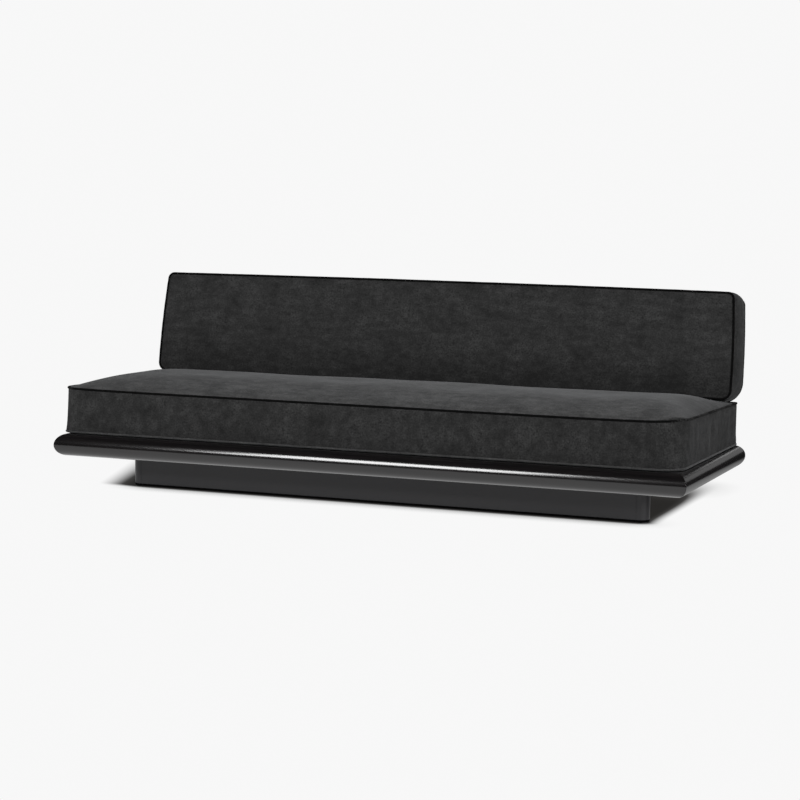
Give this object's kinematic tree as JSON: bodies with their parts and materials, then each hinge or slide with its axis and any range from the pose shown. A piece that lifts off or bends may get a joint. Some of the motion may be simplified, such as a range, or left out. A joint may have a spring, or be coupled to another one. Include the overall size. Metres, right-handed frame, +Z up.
{
  "type": "three-seater platform sofa",
  "caption": "Low armless sofa on a bullnose wooden platform over a recessed plinth, with a long piped seat cushion and a long piped back cushion.",
  "frame": {"origin": "on the floor, under the middle of the whole sofa's bounding box", "axes": "+X along the sofa, to the right of a person facing it; +Y from its front to its back; +Z up"},
  "size_m": [2.4, 1.0309, 0.7856],
  "materials": {
    "ebonised_wood": "black stain under semi-gloss lacquer",
    "plinth_lacquer": "satin black lacquer",
    "birch_plywood": "raw",
    "softwood": "planed, raw",
    "felt": "dense felt",
    "zinc_plate": "zinc plated",
    "black_steel": "black powder coat",
    "charcoal_velvet": "mottled matt velvet",
    "piping_velvet": "matt velvet over cord",
    "black_lining": "plain weave",
    "cushion_foam": "cut foam",
    "zip_tape": "woven tape with moulded teeth"
  },
  "bodies": {
    "base": {"front_rail": "ebonised_wood", "rear_rail": "ebonised_wood", "left_rail": "ebonised_wood", "right_rail": "ebonised_wood", "plinth_front_panel": "plinth_lacquer", "plinth_rear_panel": "plinth_lacquer", "plinth_left_panel": "plinth_lacquer", "plinth_right_panel": "plinth_lacquer", "plinth_post_front_left": "plinth_lacquer", "plinth_post_front_right": "plinth_lacquer", "plinth_post_rear_left": "plinth_lacquer", "plinth_post_rear_right": "plinth_lacquer", "deck_panel": "birch_plywood", "plinth_rib_left": "birch_plywood", "plinth_rib_right": "birch_plywood", "plinth_cleat_front": "softwood", "plinth_cleat_rear": "softwood", "cross_bearer_1": "softwood", "cross_bearer_2": "softwood", "cross_bearer_3": "softwood", "cross_bearer_4": "softwood", "glide_front_left": "felt", "glide_front_right": "felt", "glide_rear_left": "felt", "glide_rear_right": "felt", "plinth_bolt_front_left": "zinc_plate", "plinth_bolt_front_right": "zinc_plate", "plinth_bolt_rear_left": "zinc_plate", "plinth_bolt_rear_right": "zinc_plate", "upright_screw_left_front": "zinc_plate", "upright_screw_left_rear": "zinc_plate", "upright_screw_middle_front": "zinc_plate", "upright_screw_middle_rear": "zinc_plate", "upright_screw_right_front": "zinc_plate", "upright_screw_right_rear": "zinc_plate", "back_upright_left": "black_steel", "back_upright_middle": "black_steel", "back_upright_right": "black_steel"},
    "seat_cushion": {"seat_foam": "cushion_foam", "seat_top_panel": "charcoal_velvet", "seat_bottom_panel": "black_lining", "seat_boxing": "charcoal_velvet", "seat_top_piping": "piping_velvet", "seat_bottom_piping": "piping_velvet", "seat_zip_tape": "zip_tape"},
    "back_cushion": {"back_board": "birch_plywood", "back_foam_front": "cushion_foam", "back_foam_rear": "cushion_foam", "back_front_panel": "charcoal_velvet", "back_rear_panel": "charcoal_velvet", "back_boxing": "charcoal_velvet", "back_front_piping": "piping_velvet", "back_rear_piping": "piping_velvet", "back_zip_tape": "zip_tape", "back_socket_left": "black_steel", "back_socket_middle": "black_steel", "back_socket_right": "black_steel"},
    "seat_zip": {"seat_zip_slider": "zinc_plate"},
    "back_zip": {"back_zip_slider": "zinc_plate"}
  },
  "joints": [
    {"name": "seat_pull", "type": "slide", "parent": "base", "child": "seat_cushion", "axis": [0, -1, 0], "range_m": [0, 0.4]},
    {"name": "back_lift", "type": "slide", "parent": "base", "child": "back_cushion", "axis": [0, 0.1736, 0.9848], "range_m": [0, 0.25]},
    {"name": "seat_zip_run", "type": "slide", "parent": "seat_cushion", "child": "seat_zip", "axis": [1, 0, 0], "range_m": [0, 1.81]},
    {"name": "back_zip_run", "type": "slide", "parent": "back_cushion", "child": "back_zip", "axis": [1, 0, 0], "range_m": [0, 1.76]}
  ]
}
